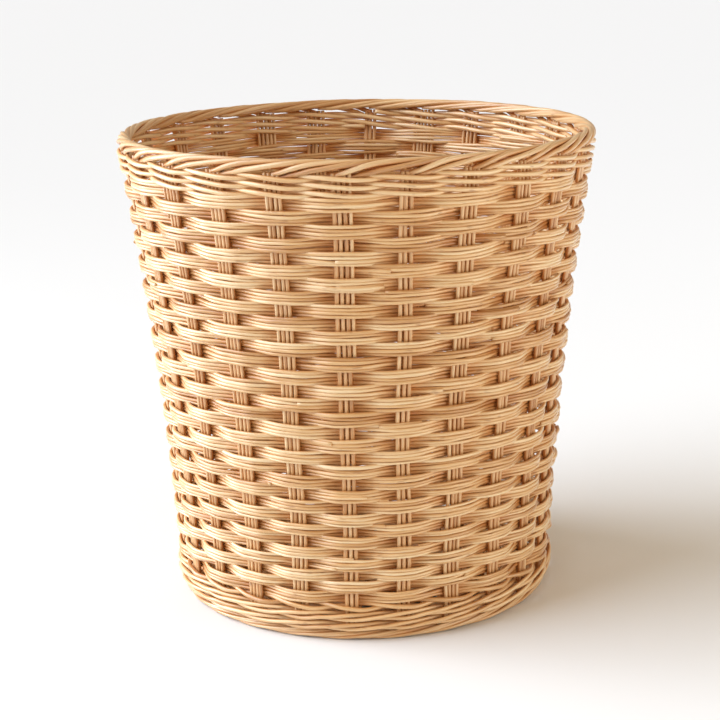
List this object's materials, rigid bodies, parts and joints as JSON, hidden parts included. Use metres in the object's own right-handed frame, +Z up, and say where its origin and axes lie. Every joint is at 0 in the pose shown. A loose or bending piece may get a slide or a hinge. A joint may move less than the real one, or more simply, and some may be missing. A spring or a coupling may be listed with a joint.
{
  "type": "wastebasket",
  "caption": "Round woven rattan wastebasket with flared sides, a rolled rim and an open top.",
  "frame": {"origin": "centre of the foot circle, on the floor", "axes": "+Z up along the basket's axis, -Y the side that faces the viewer, +X to the viewer's right"},
  "size_m": [0.3034, 0.3032, 0.3],
  "materials": {
    "rattan_stake": "satin natural rattan reed, honey",
    "rattan_weaver": "satin natural rattan reed, light honey",
    "rattan_wale": "satin natural rattan reed, honey",
    "rattan_border": "satin natural rattan reed, rolled",
    "rattan_base": "satin natural rattan reed, slightly duller"
  },
  "bodies": {
    "root": {"stake_bundle_01": "rattan_stake", "stake_bundle_02": "rattan_stake", "stake_bundle_03": "rattan_stake", "stake_bundle_04": "rattan_stake", "stake_bundle_05": "rattan_stake", "stake_bundle_06": "rattan_stake", "stake_bundle_07": "rattan_stake", "stake_bundle_08": "rattan_stake", "stake_bundle_09": "rattan_stake", "stake_bundle_10": "rattan_stake", "stake_bundle_11": "rattan_stake", "stake_bundle_12": "rattan_stake", "base_weave_round_1": "rattan_base", "base_weave_round_2": "rattan_base", "base_weave_round_3": "rattan_base", "base_weave_round_4": "rattan_base", "base_weave_round_5": "rattan_base", "base_weave_round_6": "rattan_base", "side_weave_row_01": "rattan_weaver", "side_weave_row_02": "rattan_weaver", "side_weave_row_03": "rattan_weaver", "side_weave_row_04": "rattan_weaver", "side_weave_row_05": "rattan_weaver", "side_weave_row_06": "rattan_weaver", "side_weave_row_07": "rattan_weaver", "side_weave_row_08": "rattan_weaver", "side_weave_row_09": "rattan_weaver", "side_weave_row_10": "rattan_weaver", "side_weave_row_11": "rattan_weaver", "side_weave_row_12": "rattan_weaver", "side_weave_row_13": "rattan_weaver", "side_weave_row_14": "rattan_weaver", "side_weave_row_15": "rattan_weaver", "side_weave_row_16": "rattan_weaver", "side_weave_row_17": "rattan_weaver", "side_weave_row_18": "rattan_weaver", "side_weave_row_19": "rattan_weaver", "side_weave_row_20": "rattan_weaver", "side_weave_row_21": "rattan_weaver", "side_weave_row_22": "rattan_weaver", "side_weave_row_23": "rattan_weaver", "side_weave_row_24": "rattan_weaver", "side_weave_row_25": "rattan_weaver", "side_weave_row_26": "rattan_weaver", "side_weave_row_27": "rattan_weaver", "side_weave_row_28": "rattan_weaver", "side_weave_row_29": "rattan_weaver", "side_weave_row_30": "rattan_weaver", "side_weave_row_31": "rattan_weaver", "side_weave_row_32": "rattan_weaver", "top_twining_strand_a": "rattan_wale", "top_twining_strand_b": "rattan_wale", "lower_twining_strand_a": "rattan_wale", "lower_twining_strand_b": "rattan_wale", "base_wale_rod_a": "rattan_wale", "base_wale_rod_b": "rattan_wale", "base_wale_rod_c": "rattan_wale", "rim_border": "rattan_border", "foot_border": "rattan_border"}
  },
  "joints": []
}
